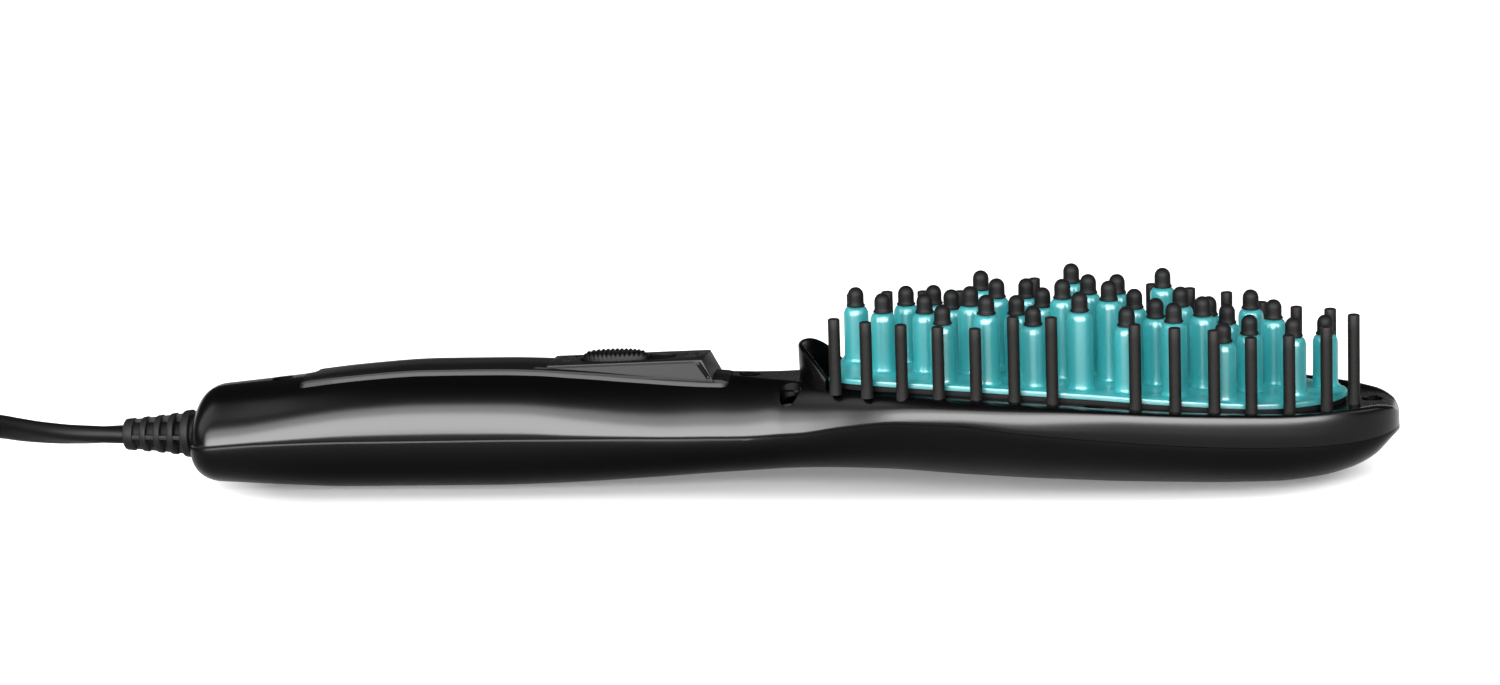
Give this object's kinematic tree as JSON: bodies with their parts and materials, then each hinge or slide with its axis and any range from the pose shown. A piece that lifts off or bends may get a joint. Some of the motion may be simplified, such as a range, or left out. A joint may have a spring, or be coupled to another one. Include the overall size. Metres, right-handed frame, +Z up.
{
  "type": "hair straightening brush",
  "caption": "Electric hair straightening brush: slim handle with a slide switch, oval head with a heated plate, capped bristles and a row of guard pins, on a mains cord.",
  "frame": {"origin": "on the table under the middle of the housing, cord left out", "axes": "+X along the housing to the tip of the head, +Z up, the way the bristles point, +Y to the side away from the picture's viewer"},
  "size_m": [0.4286, 0.0919, 0.0459],
  "materials": {
    "gloss_black": "gloss moulded ABS",
    "satin_black": "satin moulded ABS",
    "panel_black": "satin gloss moulded ABS",
    "matte_black": "matte moulded nylon",
    "white_plastic": "matte",
    "dark_plastic": "matte heat resistant plastic",
    "turquoise": "gloss ceramic coating on aluminium",
    "black_silicone": "matte silicone",
    "ceramic": "matte ceramic",
    "insulation_film": "satin polyimide film",
    "sheet_metal": "plain zinc plated sheet",
    "screw_steel": "zinc plated",
    "screw_black": "black oxide",
    "sensor_bead": "glass bead",
    "board_green": "solder mask",
    "yellow_film": "epoxy",
    "capacitor_blue": "shrink sleeve",
    "wire_sleeve": "glass fibre sleeve",
    "wire_brown": "PVC insulation",
    "relief_rubber": "matte soft PVC",
    "cord_black": "satin PVC sheath",
    "tie_black": "woven hook and loop strap",
    "pin_metal": "nickel plated brass"
  },
  "bodies": {
    "brush": {"upper_shell": "gloss_black", "lower_shell": "satin_black", "control_panel": "panel_black", "switch_body": "dark_plastic", "hair_guard": "gloss_black", "plate_frame": "dark_plastic", "heat_plate": "turquoise", "heated_bristles_row_1": "turquoise", "heated_bristles_row_2": "turquoise", "heated_bristles_row_3": "turquoise", "heated_bristles_row_4": "turquoise", "bristle_tips_row_1": "black_silicone", "bristle_tips_row_2": "black_silicone", "bristle_tips_row_3": "black_silicone", "bristle_tips_row_4": "black_silicone", "guard_pins_front": "matte_black", "guard_pins_rear": "matte_black", "guard_pin_tip": "matte_black", "ceramic_heaters": "ceramic", "heater_insulation": "insulation_film", "heater_clamps": "sheet_metal", "clamp_screws": "screw_steel", "thermal_fuse": "sheet_metal", "temperature_sensor": "sensor_bead", "circuit_board": "board_green", "film_capacitor": "yellow_film", "smoothing_capacitor": "capacitor_blue", "triac": "dark_plastic", "board_fuse": "ceramic", "board_screws": "screw_steel", "heater_wires": "wire_sleeve", "mains_wires": "wire_brown", "cord_clamp": "dark_plastic", "cord_clamp_screws": "screw_steel", "cord_inner_end": "cord_black", "housing_screws": "screw_black", "strain_relief": "relief_rubber", "cord_lead": "cord_black", "cord_coil": "cord_black", "cord_tail": "cord_black", "cord_tie": "tie_black", "plug_body": "relief_rubber", "plug_pins": "pin_metal"},
    "slider": {"switch_knob": "matte_black", "switch_lever": "white_plastic"}
  },
  "joints": [
    {"name": "switch_slide", "type": "slide", "parent": "brush", "child": "slider", "axis": [1, 0, 0], "range_m": [0, 0.006]}
  ]
}
